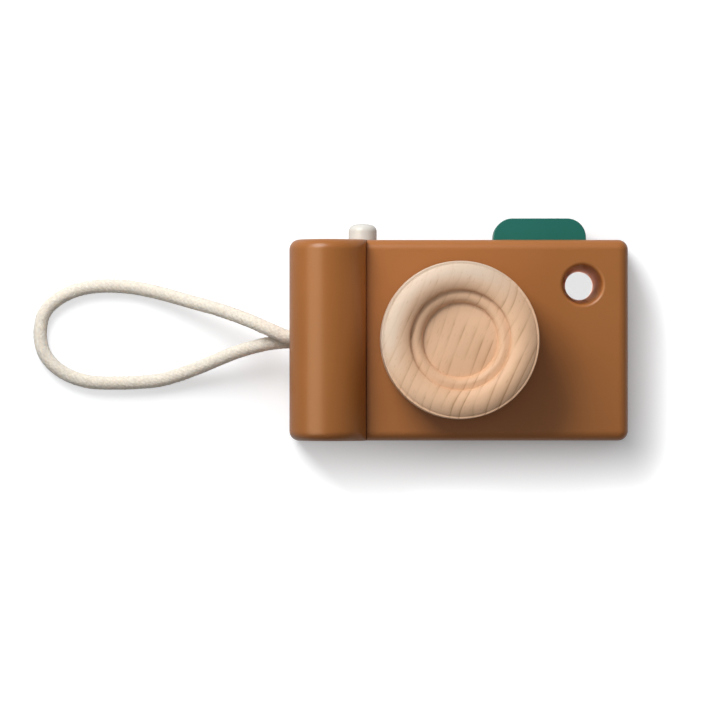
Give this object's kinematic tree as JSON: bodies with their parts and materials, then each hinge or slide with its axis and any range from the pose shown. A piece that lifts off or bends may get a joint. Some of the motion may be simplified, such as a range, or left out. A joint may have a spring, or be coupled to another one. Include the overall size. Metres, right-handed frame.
{
  "type": "toy camera",
  "caption": "Wooden toy camera with a rounded block body, a half-round hand grip, a turned lens that spins, a sprung shutter button, a flash block and a looped wrist cord.",
  "frame": {"origin": "centre of the block's flat back, which the toy lies on", "axes": "+Z out of the front along the lens axis, +Y towards the toy's top, +X towards the finder side"},
  "size_m": [0.209, 0.0776, 0.056],
  "materials": {
    "caramel_lacquer": "satin opaque lacquer over beech",
    "green_lacquer": "satin opaque lacquer over beech",
    "cream_lacquer": "satin opaque lacquer over beech",
    "turned_beech": "turned and sanded, bare",
    "dowel_beech": "milled dowel, bare",
    "felt": "pressed wool felt",
    "steel": "bright zinc plated",
    "cotton_cord": "braided natural cotton"
  },
  "bodies": {
    "camera_body": {"body_block": "caramel_lacquer", "hand_grip": "caramel_lacquer", "grip_dowels": "dowel_beech", "flash_block": "green_lacquer", "flash_dowels": "dowel_beech", "rear_plug": "caramel_lacquer", "felt_washer": "felt", "button_spring": "steel", "button_pin": "dowel_beech", "wrist_cord": "cotton_cord", "cord_pegs": "dowel_beech"},
    "lens_assembly": {"lens": "turned_beech", "lens_axle": "dowel_beech", "axle_washer": "steel", "axle_screw": "steel"},
    "button": {"shutter_button": "cream_lacquer"}
  },
  "joints": [
    {"name": "lens_turn", "type": "hinge", "parent": "camera_body", "child": "lens_assembly", "pos_m": [0, 0, 0.03], "axis": [0, 0, 1], "continuous": true},
    {"name": "button_press", "type": "slide", "parent": "camera_body", "child": "button", "axis": [0, -1, 0], "range_m": [0, 0.0035], "stiffness_N_per_m": 400, "springref_m": -0.003, "deforming": ["button_spring"]}
  ]
}
